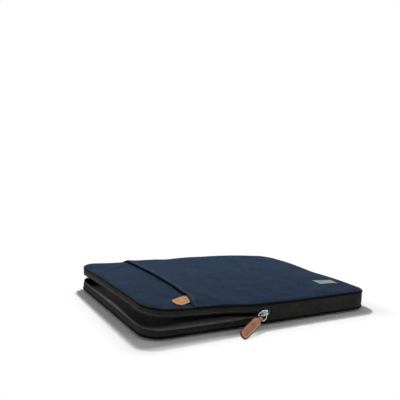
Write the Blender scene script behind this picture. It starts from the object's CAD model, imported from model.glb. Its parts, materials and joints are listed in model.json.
import bmesh
import bpy
import json
import math
import numpy as np
from bpy.props import FloatProperty, FloatVectorProperty, IntProperty, PointerProperty
from mathutils import Matrix, Vector
from mathutils.bvhtree import BVHTree


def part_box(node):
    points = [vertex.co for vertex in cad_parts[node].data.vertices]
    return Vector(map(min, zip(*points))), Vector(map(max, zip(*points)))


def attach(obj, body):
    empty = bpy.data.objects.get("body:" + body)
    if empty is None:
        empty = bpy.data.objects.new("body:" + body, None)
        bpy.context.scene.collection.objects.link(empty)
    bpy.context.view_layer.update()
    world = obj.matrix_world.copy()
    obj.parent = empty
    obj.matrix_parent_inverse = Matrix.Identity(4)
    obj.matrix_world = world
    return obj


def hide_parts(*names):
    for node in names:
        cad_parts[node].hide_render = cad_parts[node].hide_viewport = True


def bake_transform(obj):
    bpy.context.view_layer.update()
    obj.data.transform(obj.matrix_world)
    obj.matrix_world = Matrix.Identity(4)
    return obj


bl_info = {
    "name": "Zipped laptop sleeve",
    "version": (1, 0, 0),
    "blender": (4, 5, 0),
    "location": "View3D > Sidebar > Laptop sleeve",
    "description": "Builds the cloth, piping, zip, leather pull and stage of a padded laptop sleeve",
    "category": "Object",
}

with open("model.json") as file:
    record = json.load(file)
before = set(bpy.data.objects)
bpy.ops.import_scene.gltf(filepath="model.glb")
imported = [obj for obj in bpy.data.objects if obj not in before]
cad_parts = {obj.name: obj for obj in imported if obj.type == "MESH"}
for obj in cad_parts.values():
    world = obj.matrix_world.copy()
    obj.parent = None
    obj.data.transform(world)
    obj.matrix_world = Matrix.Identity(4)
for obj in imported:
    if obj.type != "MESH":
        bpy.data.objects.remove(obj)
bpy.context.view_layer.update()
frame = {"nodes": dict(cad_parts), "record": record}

MM = 0.001
UP = (0.0, 0.0, 1.0)

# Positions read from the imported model, in metres.
PATCH_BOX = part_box("label_patch")
PATCH_MIDDLE = (PATCH_BOX[0] + PATCH_BOX[1]) / 2
JOINTS = {joint["name"]: joint for joint in frame["record"]["behaviour"]["joints"]}
HALF_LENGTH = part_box("lower_piping")[1].x
HALF_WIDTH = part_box("lower_piping")[1].y
FOLD = Vector(JOINTS["mouth_lift"]["pos_m"])
MOUTH_ANGLE = -math.radians(JOINTS["mouth_lift"]["range_deg"][0])
BEND_START = FOLD.x + 7 * MM
BEND_END = FOLD.x - 45 * MM
ZIP_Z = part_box("slider_body")[0].z * 0.5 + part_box("slider_body")[1].z * 0.5
SEAM_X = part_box("end_gusset")[0].x - 0.15 * MM
COIL_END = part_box("near_zip_stop")[0].x

# The padded panels: their rounded corners, how their edges roll down to the piping, and how far in they end.
CORNER = 30 * MM
COVER_TOP = 36.0 * MM
RIM = 32.2 * MM
ROLL = 20.0 * MM
ROLL_CENTRE = 16.0 * MM
ROLL_INSET = 13.2 * MM
EDGE_LINES = np.array([0.0, 0.05, 0.9, 1.9, 3.0, 4.3, 5.8, 7.5, 9.5, 11.8, 14.4]) * MM
COVER_INSET = 1.5 * MM
PADDING_INSET = 5.0 * MM
LINING_INSET = 3.6 * MM
TUCK_IN = 0.6 * MM
TUCK_DOWN = 1.0 * MM

# Thickness of cloths, paddings and leather, and how much larger than the sleeve's plan the cloths are cut.
CLOTH = 0.7 * MM
LINING = 0.5 * MM
PATCH_CLOTH = 0.55 * MM
COVER_PADDING = 3.0 * MM
BACK_PADDING = 3.3 * MM
TAB_LEATHER = 1.35 * MM
PULL_LEATHER = 1.3 * MM

# The trial pad, whose creases the cover takes on up to a limit.
PAD = 12 * MM
PAD_CROWN = 3.0 * MM
PAD_MESH = 5.0 * MM
PAD_SEAM = 7 * MM
PAD_BACK = -8 * MM
PAD_FRAMES = 20
CREASE_LIMIT = 1.3 * MM

# The walls and the zip: how far the open wall leans, lifts and creases above its foot, and where its stitches
# and the coils run, as heights above the floor and insets from the outline.
WALL_FOOT = 6.2 * MM
WALL_LEAN = 4.4 * MM
CORNER_LIFT = 1.2 * MM
LOOSE_RISE = 2.2 * MM
LOOSE_LEAN = 15.0 * MM
LOOSE_CREASE = 2.6 * MM
LOOSE_WAVE = 1.2 * MM
WALL_STEP = 2.2 * MM
WALL_ROWS = (("lower_wall_stitching", "lower wall", 12.4 * MM), ("upper_wall_stitching", "top", 25.6 * MM))
WALL_ROW_INSET = 0.66 * MM
COIL_INSET = 2.15 * MM
COIL_WIRE = 0.34 * MM

# The pocket, its folded hem and the two rows of stitches at the hem's seam.
POCKET_X = -HALF_LENGTH + 79 * MM
HEM = 11 * MM
HEM_SEAM = 5.4 * MM
HEM_ROUND = 0.85 * MM
HEM_ROW = 0.6 * MM
HEM_END = 4 * MM
HEM_RISE = 0.85 * MM
HEM_ROLL = 0.2 * MM
HEM_GROOVE = 0.25 * MM
LIP_REACH = 30 * MM
POCKET_STAND = 0.85 * MM

# The blank patch, sewn on very slightly turned.
PATCH_LENGTH = 37 * MM
PATCH_WIDTH = 20 * MM
PATCH_TURN = math.radians(-4)
PATCH_ROW_INSET = 1.5 * MM

# The leather tab: how far across the sleeve it leaves the pocket, and its turned shape.
TAB_ACROSS = -112.0 * MM
TAB_TURN = math.radians(25)
TAB_LENGTH = 29.5 * MM
TAB_WIDTH = 21.0 * MM
TAB_CLIP = 4.8 * MM
TAB_SKEW = 0.25
TAB_STAND = 2.4 * MM
TAB_MIDDLE = Vector((POCKET_X - 14 * MM, TAB_ACROSS, 0))
TAB_ROOT = -11 * MM
TAB_RIM = 1.5 * MM
TAB_ROW_INSET = 1.7 * MM

# The leather pull: a folded strip with a slim neck round the ring's outer bar.
PULL_LENGTH = 55 * MM
PULL_HALF = 6.75 * MM
PULL_NECK = 7 * MM
PULL_TURN = 1.2 * MM
PULL_RIM = 1.7 * MM
PULL_ROW_INSET = 2.1 * MM
NECK_HALF = 3.4 * MM
EYE = 1.55 * MM
LEAF = 0.72 * MM
RIM_FADE = 1.2 * MM

# The upper half is soft and does not lie level. Each row is a place on it, in millimetres, and how far it
# stands above or below the level rim there.
RIM_CHANGES = (
    (195, -120, -3.0), (195, 0, -4.3), (195, 120, -4.2), (165, 140, -2.6), (140, 140, -1.0), (114, 140, 0.7),
    (81, 140, 1.8), (50, 140, 2.6), (14, 140, 3.3), (-18, 140, 3.2), (-60, 140, 1.2), (-92, 140, -0.6),
    (-120, 140, -2.2), (-145, 140, -3.4), (-175, 135, -4.2), (-195, 110, -5.6), (-195, 60, -3.2),
    (-195, 0, -1.7), (-195, -70, -0.1), (-193, -120, -0.2), (-165, -140, -1.6), (-120, -140, -1.1),
    (-90, -140, -0.2), (-60, -140, 0.0), (-20, -140, 0.0), (30, -140, -1.1), (100, -140, -1.2),
    (165, -140, -1.2), (-100, 0, -0.7), (0, 0, 0.6), (100, 0, -0.3),
)
# How full the padding stands above the rim at such places: one is the plain rolled edge.
FULLNESS = (
    (195, -120, 0.3), (195, 120, 0.3), (195, 0, 0.3), (165, 140, 0.6), (165, -140, 0.45), (80, 140, 1.05),
    (0, 140, 1.1), (-90, 140, 0.9), (-145, 140, 0.45), (-178, 132, 0.1), (-195, 100, 0.1), (-195, 0, 0.6),
    (-185, -120, 0.5), (-120, -140, 0.3), (-30, -140, 0.5), (60, -140, 0.5), (0, 0, 1.0), (120, 0, 0.9),
    (-110, 0, 0.8),
)

# Each lamp: name, place, what it points at, size and power.
LAMPS = (
    ("key", (0.07, 0.30, 0.70), (0, 0, 0), (0.10, 0.10), 5.4),
    ("fill", (0.9, -1.4, 0.8), (0, 0, 0), (1.2, 1.2), 2.8),
    ("side fill", (-1.7, 0.15, 0.45), (-0.1, 0, 0), (0.8, 0.8), 3.0),
)
WORLD_LIGHT = 0.27
FLOOR_REACH = 6.0
CAMERA_LENS = 49.598
CAMERA_PLACE = Vector((-470.366, -749.154, 259.921)) * MM
CAMERA_RIGHT = Vector((0.87156223, -0.48825452, 0.04457353))
CAMERA_UP = Vector((0.01580368, 0.1188436, 0.99278721))
CAMERA_BACK = Vector((-0.49003012, -0.86457141, 0.11129581))

MATERIALS = {}
GROUPS = {}
CREASES = {}


# ----------------------------------------------------------------------------------------------
# Settings shown in the panel
# ----------------------------------------------------------------------------------------------

class SleeveShape(bpy.types.PropertyGroup):
    """Sizes of the soft parts."""

    crown: FloatProperty(
        name="Cover crown", description="How far the padded cover rises in its middle",
        default=4.6 * MM, unit="LENGTH")
    wall_sag: FloatProperty(
        name="Wall sag", description="How far the lower wall droops half way along the open zip",
        default=4.6 * MM, unit="LENGTH")
    cloth_slack: FloatProperty(
        name="Cloth slack", default=0.012,
        description="Share by which the cover cloth is cut larger than its frame of seams")
    lip_rise: FloatProperty(
        name="Pocket lip rise", description="How far the pocket's hem stands off the cover",
        default=2.5 * MM, unit="LENGTH")
    tooth_pitch: FloatProperty(
        name="Zip pitch", description="Distance from one turn of the zip coil to the next",
        default=1.45 * MM, unit="LENGTH")
    stitch_pitch: FloatProperty(
        name="Stitch length", description="Distance from one stitch to the next",
        default=3.1 * MM, unit="LENGTH")
    seed: IntProperty(name="Seed", description="Seed for the small creases", default=7)


class SleeveColours(bpy.types.PropertyGroup):
    """Colours of the cloths, the leather and the metal."""

    navy: FloatVectorProperty(
        name="Cover cloth", description="Main colour of the cover cloth",
        default=(0.0098, 0.0222, 0.0450), size=3, subtype="COLOR")
    navy_light: FloatVectorProperty(
        name="Cover flecks", description="Lighter threads in the cover cloth",
        default=(0.0300, 0.0520, 0.0930), size=3, subtype="COLOR")
    wall: FloatVectorProperty(
        name="Wall cloth", description="Cloth of the walls",
        default=(0.0270, 0.0258, 0.0245), size=3, subtype="COLOR")
    lining: FloatVectorProperty(
        name="Lining", description="Cloth inside the sleeve",
        default=(0.022, 0.023, 0.026), size=3, subtype="COLOR")
    leather: FloatVectorProperty(
        name="Leather", description="Tan leather of the tab and the pull",
        default=(0.44, 0.190, 0.088), size=3, subtype="COLOR")
    patch: FloatVectorProperty(
        name="Patch", description="Blank woven patch",
        default=(0.245, 0.278, 0.283), size=3, subtype="COLOR")
    metal: FloatVectorProperty(
        name="Metal", description="Plated slider and ring",
        default=(0.56, 0.58, 0.62), size=3, subtype="COLOR")
    floor: FloatVectorProperty(
        name="Floor", description="Pale floor", default=(0.95, 0.95, 0.95), size=3, subtype="COLOR")


def settings():
    return bpy.context.scene.sleeve_shape


# ----------------------------------------------------------------------------------------------
# Shader node groups and materials
# ----------------------------------------------------------------------------------------------

class Nodes:
    """Small helper that adds and joins nodes."""

    def __init__(self, tree):
        self.tree = tree

    def feed(self, node, inputs):
        """Give each named input of a node a value, or join it to another node's output."""
        for key, value in inputs.items():
            socket = node.inputs[key]
            if isinstance(value, bpy.types.NodeSocket):
                self.tree.links.new(value, socket)
            elif socket.type == "RGBA":
                socket.default_value = (*value[:3], 1.0)
            else:
                socket.default_value = value
        return node

    def add(self, kind, inputs=None, **values):
        node = self.tree.nodes.new(kind)
        for key, value in values.items():
            setattr(node, key, value)
        return self.feed(node, inputs or {})

    def math(self, operation, first, second=0.5):
        return self.add("ShaderNodeMath", {0: first, 1: second}, operation=operation).outputs[0]

    def plus(self, first, second):
        return self.math("ADD", first, second)

    def times(self, first, second):
        return self.math("MULTIPLY", first, second)

    def object_place(self):
        return self.add("ShaderNodeTexCoord").outputs["Object"]

    def noise(self, vector, scale, detail=3.0, rough=0.55):
        inputs = {"Vector": vector, "Scale": scale, "Detail": detail, "Roughness": rough}
        return self.add("ShaderNodeTexNoise", inputs).outputs["Fac"]

    def cells(self, vector, scale, feature="F1"):
        inputs = {"Vector": vector, "Scale": scale}
        return self.add("ShaderNodeTexVoronoi", inputs, feature=feature).outputs["Distance"]

    def scaled(self, vector, scale, turn=0.0):
        inputs = {"Vector": vector, "Scale": scale, "Rotation": (0, 0, turn)}
        return self.add("ShaderNodeMapping", inputs).outputs["Vector"]

    def spread(self, value, low, high, to_low=0.0, to_high=1.0):
        inputs = {"Value": value, "From Min": low, "From Max": high, "To Min": to_low, "To Max": to_high}
        return self.add("ShaderNodeMapRange", inputs).outputs["Result"]

    def mix(self, factor, first, second):
        return self.add("ShaderNodeMix", {0: factor, 6: first, 7: second}, data_type="RGBA").outputs[2]

    def group(self, name, vector, **values):
        return self.add("ShaderNodeGroup", {"Vector": vector, **values}, node_tree=GROUPS[name]).outputs


def new_group(name, numbers, outputs):
    """Start a shader node group that takes a vector and some numbers, and puts out the named values."""
    tree = bpy.data.node_groups.new(name, "ShaderNodeTree")
    tree.interface.new_socket(name="Vector", in_out="INPUT", socket_type="NodeSocketVector")
    for socket, default in numbers.items():
        number = tree.interface.new_socket(name=socket, in_out="INPUT", socket_type="NodeSocketFloat")
        number.default_value = default
    for socket in outputs:
        tree.interface.new_socket(name=socket, in_out="OUTPUT", socket_type="NodeSocketFloat")
    kit = Nodes(tree)
    return kit, kit.add("NodeGroupInput").outputs, kit.add("NodeGroupOutput")


def weave_group():
    """Plain weave: height of the threads and which thread is on top."""
    kit, given, leave = new_group("Plain weave", {"Pitch": 0.0009}, ("Height", "Warp On Top"))
    counted = {0: given["Vector"], "Scale": kit.math("DIVIDE", 1.0, given["Pitch"])}
    counted = kit.add("ShaderNodeVectorMath", counted, operation="SCALE").outputs[0]
    axes = kit.add("ShaderNodeSeparateXYZ", {0: counted}).outputs[:2]
    first, second = [kit.math("ABSOLUTE", kit.math("SINE", kit.times(axis, math.pi))) for axis in axes]
    cells = kit.plus(*[kit.math("FLOOR", axis) for axis in axes])
    checker = kit.math("ABSOLUTE", kit.math("MODULO", cells, 2.0))
    warp = kit.times(checker, kit.plus(first, kit.times(second, 0.45)))
    weft = kit.times(kit.math("SUBTRACT", 1.0, checker), kit.plus(second, kit.times(first, 0.45)))
    kit.feed(leave, {"Height": kit.times(kit.plus(warp, weft), 0.69), "Warp On Top": checker})
    return kit.tree


def heather_group():
    """Slubby, mixed threads: a mask of light flecks, soft tone changes and fine creases."""
    kit, given, leave = new_group("Heathered thread", {}, ("Fleck", "Tone", "Crinkle"))
    vector = given["Vector"]
    slubs = [kit.noise(kit.scaled(vector, scale), 1.0, 2.0) for scale in ((120, 1100, 1), (1100, 120, 1))]
    streaks = kit.noise(kit.scaled(vector, (22, 60, 1), 0.6), 1.0, 5.0, 0.6)
    crinkle = kit.noise(vector, 170.0, 3.0, 0.6)
    kit.feed(leave, {"Fleck": kit.spread(kit.math("MAXIMUM", *slubs), 0.53, 0.72),
                     "Tone": kit.plus(kit.times(streaks, 0.65), kit.times(crinkle, 0.35)),
                     "Crinkle": crinkle})
    return kit.tree


def wear_group():
    """Edge wear, handling marks and a little dust."""
    kit, given, leave = new_group("Wear and dust", {}, ("Edge", "Dust"))
    vector = given["Vector"]
    edge = kit.spread(kit.add("ShaderNodeNewGeometry").outputs["Pointiness"], 0.52, 0.60)
    broken = kit.spread(kit.noise(vector, 240.0), 0.35, 0.65)
    dust = kit.spread(kit.noise(vector, 520.0, 2.0), 0.62, 0.78)
    kit.feed(leave, {"Edge": kit.times(edge, broken), "Dust": dust})
    return kit.tree


def grain_group():
    """Leather grain: fine pebbles, pores and soft cloudy tone."""
    kit, given, leave = new_group("Leather grain", {"Scale": 1500.0}, ("Height", "Cloud", "Pore"))
    vector = given["Vector"]
    pebbles = kit.cells(vector, given["Scale"], "SMOOTH_F1")
    fine = kit.noise(vector, 900.0, 4.0)
    kit.feed(leave, {"Height": kit.plus(kit.times(pebbles, 0.7), kit.times(fine, 0.4)),
                     "Cloud": kit.noise(vector, 70.0, 4.0),
                     "Pore": kit.spread(fine, 0.60, 0.72)})
    return kit.tree


def tinted(colour, *shares):
    """A colour made lighter or darker by one share, or by a share for each of its three parts."""
    return tuple(part * share for part, share in zip(colour, shares * 3 if len(shares) == 1 else shares))


def start_material(name, colour, roughness, sheen=0.0, gloss=0.5, metallic=0.0):
    """New material with a plain shader, kept by its name."""
    material = bpy.data.materials.new(name)
    material.use_nodes = True
    material.diffuse_color = (*colour, 1.0)
    MATERIALS[name] = material
    kit = Nodes(material.node_tree)
    shader = kit.feed(material.node_tree.nodes["Principled BSDF"], {
        "Base Color": colour, "Roughness": roughness, "Metallic": metallic, "Specular IOR Level": gloss})
    if sheen:
        tint = tuple(0.3 + 0.5 * part / max(colour) for part in colour)
        kit.feed(shader, {"Sheen Weight": sheen, "Sheen Roughness": 0.5, "Sheen Tint": tint})
    return kit, shader


def finish_material(kit, shader, colour, roughness, height, depth, strength=0.8):
    """Join a material's changing colour, roughness and height to its shader."""
    bump = kit.add("ShaderNodeBump", {"Strength": strength, "Distance": depth, "Height": height})
    kit.feed(shader, {"Base Color": colour, "Roughness": roughness, "Normal": bump.outputs["Normal"]})


def cloth_material(name, colour, fleck_colour, pitch, depth, roughness=0.92, sheen=0.0, fleck=1.0,
                   gloss=0.03, crinkle=2.5):
    """Woven cloth on the piece's own UV map, which is laid out in metres."""
    kit, shader = start_material(name, colour, roughness, sheen, gloss)
    uv = kit.add("ShaderNodeUVMap", uv_map="cloth").outputs["UV"]
    weave = kit.group("weave", uv, Pitch=pitch)
    heather = kit.group("heather", uv)
    wear = kit.group("wear", kit.object_place())
    base = kit.mix(kit.spread(heather["Tone"], 0.38, 0.60), tinted(colour, 0.60), tinted(colour, 1.12))
    threads = kit.plus(0.55, kit.times(weave["Warp On Top"], 0.45))
    base = kit.mix(kit.times(kit.times(heather["Fleck"], fleck), threads), base, fleck_colour)
    base = kit.mix(kit.times(wear["Edge"], 0.35), base, tuple(part * 1.8 + 0.01 for part in colour))
    shine = kit.spread(weave["Height"], 0.0, 1.0, roughness, roughness - 0.12)
    height = kit.plus(weave["Height"], kit.times(heather["Crinkle"], crinkle))
    finish_material(kit, shader, base, shine, height, depth)


def leather_material(name, colour, roughness=0.48, gloss=0.45):
    """Grained leather that handling has darkened along its cut edges."""
    kit, shader = start_material(name, colour, roughness, gloss=gloss)
    grain = kit.group("grain", kit.object_place())
    wear = kit.group("wear", kit.object_place())
    rim = kit.add("ShaderNodeAttribute", attribute_name="rim").outputs["Fac"]
    dark = tinted(colour, 0.62)
    base = kit.mix(kit.spread(grain["Cloud"], 0.3, 0.7), dark, tinted(colour, 1.25))
    base = kit.mix(kit.times(grain["Pore"], 0.55), base, dark)
    base = kit.mix(wear["Edge"], base, tinted(colour, 0.45))
    base = kit.mix(kit.times(rim, 0.75), base, tinted(colour, 0.34, 0.26, 0.20))
    shine = kit.spread(grain["Cloud"], 0.3, 0.7, roughness - 0.08, roughness + 0.1)
    finish_material(kit, shader, base, shine, grain["Height"], 0.00010, 0.6)


def metal_material(name, colour, roughness=0.24):
    """Brushed, plated metal with worn edges."""
    kit, shader = start_material(name, colour, roughness, metallic=1.0)
    wear = kit.group("wear", kit.object_place())
    fine = kit.noise(kit.scaled(kit.object_place(), (900, 240, 900)), 1.0)
    tone = kit.mix(kit.spread(fine, 0.3, 0.7), tinted(colour, 0.86), colour)
    tone = kit.mix(kit.times(wear["Edge"], 0.5), tone, tinted(colour, 1.5))
    tone = kit.mix(kit.times(wear["Dust"], 0.2), tone, tinted(colour, 0.5))
    shine = kit.spread(fine, 0.2, 0.8, roughness - 0.06, roughness + 0.14)
    finish_material(kit, shader, tone, shine, fine, 0.00003, 0.35)


def moulded_material(name, colour, roughness=0.6):
    """Nylon of the zip coils and the sewing thread."""
    kit, shader = start_material(name, colour, roughness, gloss=0.4)
    fine = kit.noise(kit.object_place(), 1400.0)
    tone = kit.mix(kit.spread(fine, 0.3, 0.7), tinted(colour, 0.7), tinted(colour, 1.15))
    shine = kit.spread(fine, 0.3, 0.7, roughness - 0.06, roughness + 0.1)
    finish_material(kit, shader, tone, shine, fine, 0.00005, 0.4)


def foam_material(name, colour, roughness=0.95):
    kit, shader = start_material(name, colour, roughness, gloss=0.2)
    cells = kit.cells(kit.object_place(), 1100.0)
    tone = kit.mix(cells, tinted(colour, 0.6), tinted(colour, 1.2))
    finish_material(kit, shader, tone, roughness, cells, 0.00025, 0.7)


def floor_material(name, colour):
    """Pale floor that fades into the white backdrop away from the sleeve."""
    kit, shader = start_material(name, colour, 0.9, gloss=0.1)
    size = kit.add("ShaderNodeVectorMath", {0: kit.object_place()}, operation="ABSOLUTE").outputs[0]
    beyond = {0: size, 1: (HALF_LENGTH, HALF_WIDTH, 0)}
    beyond = kit.add("ShaderNodeVectorMath", beyond, operation="SUBTRACT").outputs[0]
    beyond = kit.add("ShaderNodeVectorMath", {0: beyond}, operation="MAXIMUM").outputs[0]
    reach = kit.add("ShaderNodeVectorMath", {0: beyond}, operation="LENGTH").outputs["Value"]
    camera_ray = kit.add("ShaderNodeLightPath").outputs["Is Camera Ray"]
    share = kit.times(kit.spread(reach, 0.010, 0.042), camera_ray)
    white = kit.add("ShaderNodeEmission").outputs["Emission"]
    blend = kit.add("ShaderNodeMixShader", {"Fac": share, 1: shader.outputs["BSDF"], 2: white})
    kit.feed(kit.tree.nodes["Material Output"], {"Surface": blend.outputs["Shader"]})


def make_materials(colours):
    """Build the shared groups and every material."""
    GROUPS.update(weave=weave_group(), heather=heather_group(), wear=wear_group(), grain=grain_group())
    wall, lining, patch = tuple(colours.wall), tuple(colours.lining), tuple(colours.patch)
    leather, metal = tuple(colours.leather), tuple(colours.metal)
    tape, tape_flecks = (0.065, 0.065, 0.069), (0.13, 0.13, 0.14)
    for row in (
            ("navy_cloth", tuple(colours.navy), tuple(colours.navy_light), 0.00085, 0.00028, 0.92, 0.08),
            ("wall_cloth", wall, tinted(wall, 1.8), 0.0006, 0.00016, 0.85, 0.02, 0.6, 0.08),
            ("piping_cloth", tinted(wall, 0.18), tinted(wall, 0.4), 0.0005, 0.00012, 0.85, 0.0, 0.5, 0.05),
            ("lining_cloth", lining, tinted(lining, 1.8), 0.0005, 0.00010, 0.50, 0.05, 0.5, 0.35),
            ("tape_cloth", tape, tape_flecks, 0.0005, 0.00018, 0.45, 0.04, 0.6, 0.45, 5.0),
            ("patch_cloth", patch, tinted(patch, 1.35), 0.00045, 0.00010, 0.85, 0.04, 0.6, 0.15)):
        cloth_material(*row)
    leather_material("tan_leather", leather)
    leather_material("tab_leather", tinted(leather, 1.06, 1.14, 0.94), 0.60, 0.12)
    leather_material("leather_edge", tinted(leather, 0.22), 0.6)
    metal_material("plated_metal", metal)
    metal_material("dark_metal", tinted(metal, 0.12), 0.4)
    moulded_material("coil_nylon", (0.014, 0.014, 0.016), 0.38)
    moulded_material("dark_thread", (0.018, 0.020, 0.026))
    moulded_material("tan_thread", (0.80, 0.62, 0.48))
    moulded_material("patch_thread", (0.30, 0.33, 0.32))
    foam_material("foam_cells", (0.10, 0.10, 0.11))
    floor_material("pale_floor", tuple(colours.floor))


# ----------------------------------------------------------------------------------------------
# Shape helpers
# ----------------------------------------------------------------------------------------------

def smooth(value):
    value = np.clip(value, 0.0, 1.0)
    return value * value * (3.0 - 2.0 * value)


def hill(distance, width):
    """One at no distance, fading to nothing over a few widths."""
    return np.exp(-(distance / width) ** 2)


class SoftField:
    """A smooth value over the plan of the sleeve, given at a few places."""

    def __init__(self, rows, scale=1.0, spread=45 * MM):
        known = np.array(rows, float)
        self.places = known[:, :2] * MM
        self.spread = spread
        self.level = known[:, 2].mean() * scale
        shared = self.kernel(self.places[:, 0], self.places[:, 1])
        self.weights = np.linalg.solve(shared, known[:, 2] * scale - self.level)

    def kernel(self, x, y):
        away = [np.asarray(value)[..., None] - known for value, known in zip((x, y), self.places.T)]
        return 1.0 / (1.0 + (np.hypot(*away) / self.spread) ** 2)

    def at(self, x, y):
        return self.level + self.kernel(x, y) @ self.weights


RIM_FIELD = SoftField(RIM_CHANGES, MM)
FULL_FIELD = SoftField(FULLNESS)


def raise_mouth(points):
    """Carry points of the level, closed upper half to where it lies with the mouth part open."""
    share = smooth((BEND_START - points[:, 0]) / (BEND_START - BEND_END))
    near_rim = smooth((points[:, 2] - 22 * MM) / (8 * MM))
    change = RIM_FIELD.at(points[:, 0], points[:, 1]) * (near_rim + share * (1 - near_rim))
    angle = share * MOUTH_ANGLE
    dx = points[:, 0] - FOLD.x
    dz = points[:, 2] - FOLD.z
    points[:, 0] = FOLD.x + dx * np.cos(angle) + dz * np.sin(angle)
    points[:, 2] = FOLD.z - dx * np.sin(angle) + dz * np.cos(angle) + change
    return points


def past_corner(x, y):
    """How far places lie past the straight part of the sleeve's long edges, and of its ends."""
    return np.abs(x) - (HALF_LENGTH - CORNER), np.abs(y) - (HALF_WIDTH - CORNER)


def edge_distance(x, y):
    """How far a point lies inside the sleeve's rounded plan outline."""
    past_x, past_y = past_corner(x, y)
    outside = np.hypot(np.maximum(past_x, 0), np.maximum(past_y, 0))
    inside = np.minimum(np.maximum(past_x, past_y), 0)
    return CORNER - outside - inside


def outward(x, y):
    """Direction from the sleeve's middle to its rim, square to the nearest edge."""
    past_x, past_y = past_corner(x, y)
    in_corner = (past_x > 0) & (past_y > 0)
    reach = np.maximum(np.hypot(past_x, past_y), 1e-9)
    out_x = np.where(in_corner, past_x / reach, np.where(past_x > past_y, 1.0, 0.0))
    out_y = np.where(in_corner, past_y / reach, np.where(past_x > past_y, 0.0, 1.0))
    return out_x * np.sign(x), out_y * np.sign(y)


def ripples(x, y, seed, scale=1.0):
    """Slow, gentle unevenness of stretched cloth, from a few fixed waves."""
    rng = np.random.default_rng(seed)
    waves = 9
    total = np.zeros_like(np.asarray(x, float))
    for _ in range(waves):
        angle = rng.uniform(0, math.pi)
        length = rng.uniform(0.035, 0.13) * scale  # in metres
        phase = rng.uniform(0, 2 * math.pi)
        total += np.sin((x * math.cos(angle) + y * math.sin(angle)) * 2 * math.pi / length + phase)
    return total / waves


def make_mesh(name, points, faces, uv=None, material=None):
    """New smooth object in the row frame; uv gives one pair per vertex, in metres."""
    mesh = bpy.data.meshes.new(name)
    mesh.from_pydata([tuple(p) for p in np.asarray(points, float)], [], faces)
    mesh.update()
    if uv is not None:
        layer = mesh.uv_layers.new(name="cloth")
        index = np.empty(len(mesh.loops), dtype=np.int32)
        mesh.loops.foreach_get("vertex_index", index)
        layer.data.foreach_set("uv", np.asarray(uv, float)[index].ravel())
    mesh.polygons.foreach_set("use_smooth", [True] * len(mesh.polygons))
    if material:
        mesh.materials.append(MATERIALS[material])
    return add_object(name, mesh)


def add_object(name, data):
    piece = bpy.data.objects.new(name, data)
    bpy.context.scene.collection.objects.link(piece)
    return piece


def discard(piece):
    mesh = piece.data
    bpy.data.objects.remove(piece)
    bpy.data.meshes.remove(mesh)


def grid_faces(rows, columns, close_rows=False, close_columns=False, flip=False):
    """Faces of a grid of points stored row after row."""
    faces = []
    for i in range(rows if close_rows else rows - 1):
        for j in range(columns if close_columns else columns - 1):
            a = i * columns + j
            b = i * columns + (j + 1) % columns
            c = ((i + 1) % rows) * columns + (j + 1) % columns
            d = ((i + 1) % rows) * columns + j
            faces.append((a, d, c, b) if flip else (a, b, c, d))
    return faces


def grid_piece(name, x, y, z, material, upward=True):
    """An open sheet on a grid of points, with the plan as its UV map."""
    points = np.stack([x.ravel(), y.ravel(), z.ravel()], axis=1)
    return make_mesh(name, points, grid_faces(*x.shape, flip=upward), points[:, :2], material)


def thicken(piece, thickness, soft=0.0, offset=-1.0, even=True, angle=50):
    """Give a sheet its thickness and soften its edges; a second material goes on the cut edge."""
    solid = piece.modifiers.new("thickness", "SOLIDIFY")
    solid.thickness = thickness
    solid.offset = offset
    solid.use_even_offset = even
    solid.material_offset_rim = len(piece.data.materials) - 1
    if soft:
        edge = piece.modifiers.new("soft edge", "BEVEL")
        edge.width = soft
        edge.segments = 2
        edge.limit_method = "ANGLE"
        edge.angle_limit = math.radians(angle)
    apply_modifiers(piece)


def apply_modifiers(piece):
    """Turn a piece and its modifiers into plain mesh."""
    bpy.context.view_layer.update()
    depsgraph = bpy.context.evaluated_depsgraph_get()
    mesh = bpy.data.meshes.new_from_object(piece.evaluated_get(depsgraph), preserve_all_data_layers=True,
                                           depsgraph=depsgraph)
    old = piece.data
    piece.modifiers.clear()
    piece.data = mesh
    mesh.name = piece.name
    bpy.data.meshes.remove(old)


def points_of(piece):
    flat = np.empty(len(piece.data.vertices) * 3)
    piece.data.vertices.foreach_get("co", flat)
    return flat.reshape(-1, 3)


def make_outward(piece):
    """Point every face of a closed mesh outwards."""
    work = bmesh.new()
    work.from_mesh(piece.data)
    bmesh.ops.recalc_face_normals(work, faces=work.faces)
    work.to_mesh(piece.data)
    work.free()
    piece.data.update()


def path_lengths(points):
    """How far along its path each point is."""
    return np.concatenate([[0], np.cumsum(np.hypot(*np.diff(points, axis=0).T))])


def outline(inset, start_x, step=2.0 * MM, toward_mouth=True):
    """Open path round one end of the sleeve, near side to far side: points and outward directions."""
    half_x = HALF_LENGTH - inset
    half_y = HALF_WIDTH - inset
    radius = CORNER - inset
    sign = -1.0 if toward_mouth else 1.0
    corner_x = sign * (half_x - radius)
    side = np.linspace(start_x, corner_x, max(2, int(abs(corner_x - start_x) / step)))
    turn = np.linspace(0, math.pi / 2, max(10, int(radius * math.pi / 2 / step)))[1:]
    end = np.linspace(radius - half_y, half_y - radius, max(2, int(2 * (half_y - radius) / step)))[1:-1]
    side_out = np.tile((0.0, -1.0), (len(side), 1))
    turn_out = np.column_stack([sign * np.sin(turn), -np.cos(turn)])
    near = np.concatenate([np.column_stack([side, np.full(len(side), -half_y)]),
                           turn_out * radius + (corner_x, radius - half_y)])
    near_out = np.concatenate([side_out, turn_out])
    mirror = (1.0, -1.0)
    across = np.column_stack([np.full(len(end), sign * half_x), end])
    across_out = np.tile((sign, 0.0), (len(end), 1))
    return (np.concatenate([near, across, near[::-1] * mirror]),
            np.concatenate([near_out, across_out, near_out[::-1] * mirror]))


def whole_outline(inset):
    """Closed path round the sleeve, starting and ending at the middle of the near side."""
    mouth_half = outline(inset, 0.0)
    end_half = outline(inset, 0.0, toward_mouth=False)
    return [np.concatenate([first, second[-2:0:-1]]) for first, second in zip(mouth_half, end_half)]


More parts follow.
